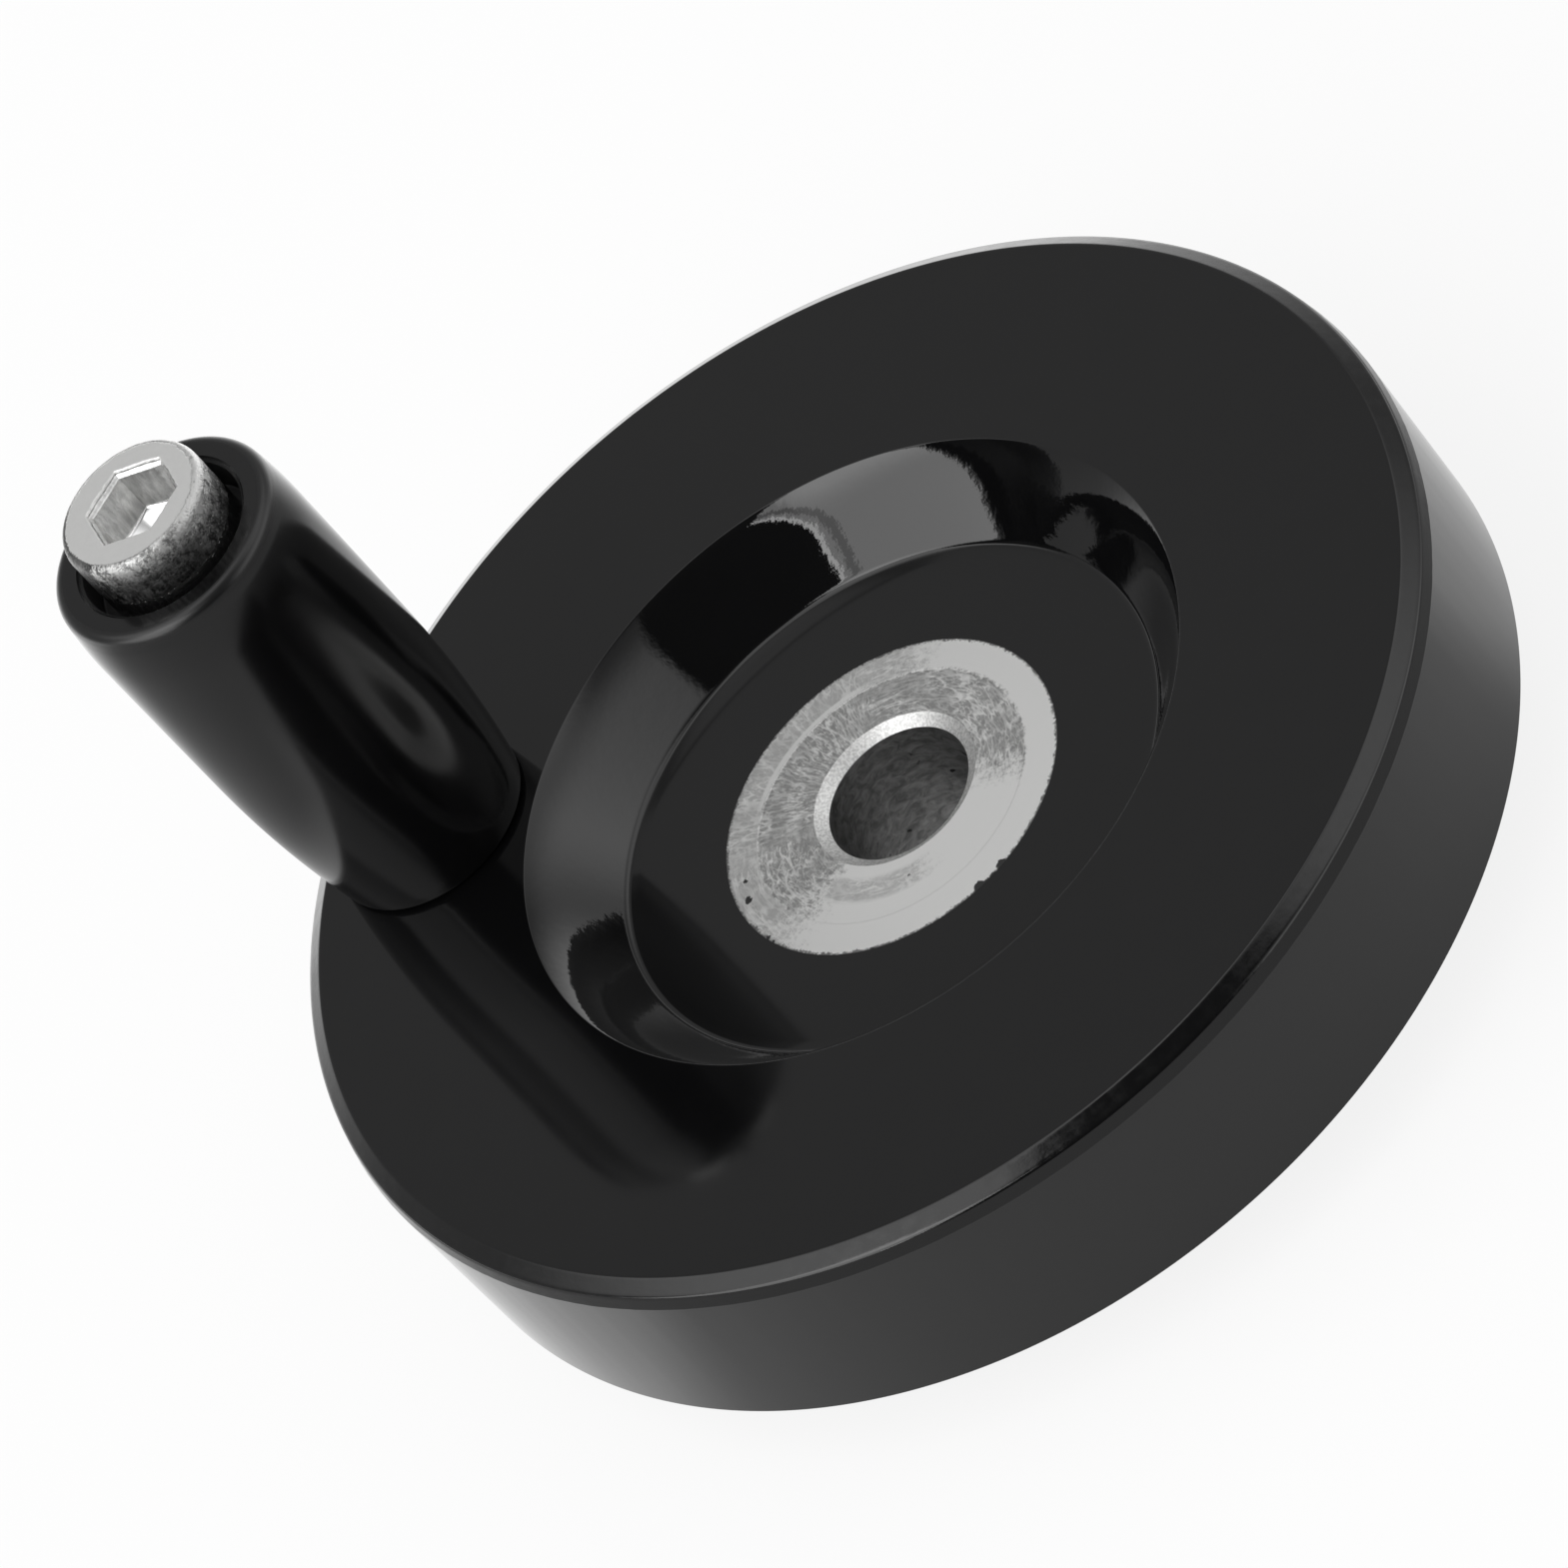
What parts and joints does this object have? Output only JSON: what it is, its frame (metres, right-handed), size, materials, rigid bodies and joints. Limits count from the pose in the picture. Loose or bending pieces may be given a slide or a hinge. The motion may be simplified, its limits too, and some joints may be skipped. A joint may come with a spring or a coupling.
{
  "type": "machine handwheel",
  "caption": "Moulded disc handwheel with a recessed centre, a metal hub bush with a plain bore, and a barrel grip that revolves on a sleeve held by a socket cap screw.",
  "frame": {"origin": "on the wheel's axis, at the back end of the hub, the lowest plane of the part", "axes": "+Z along the wheel's axis, out of the front face towards the handle; +X towards the handle's axis"},
  "size_m": [0.08, 0.08, 0.0544],
  "materials": {
    "wheel_moulding": "polished black phenolic moulding",
    "grip_moulding": "polished black moulding",
    "bush_metal": "turned face with circular tool marks",
    "sleeve_steel": "ground",
    "screw_metal": "bright plated, knurled head",
    "insert_brass": "turned"
  },
  "bodies": {
    "wheel": {"wheel_disc": "wheel_moulding", "hub_bush": "bush_metal", "handle_insert": "insert_brass", "handle_sleeve": "sleeve_steel", "handle_screw": "screw_metal"},
    "grip": {"handle_grip": "grip_moulding"}
  },
  "joints": [
    {"name": "grip_spin", "type": "hinge", "parent": "wheel", "child": "grip", "pos_m": [0.03136, 0, 0.0194], "axis": [0, 0, 1], "continuous": true}
  ]
}
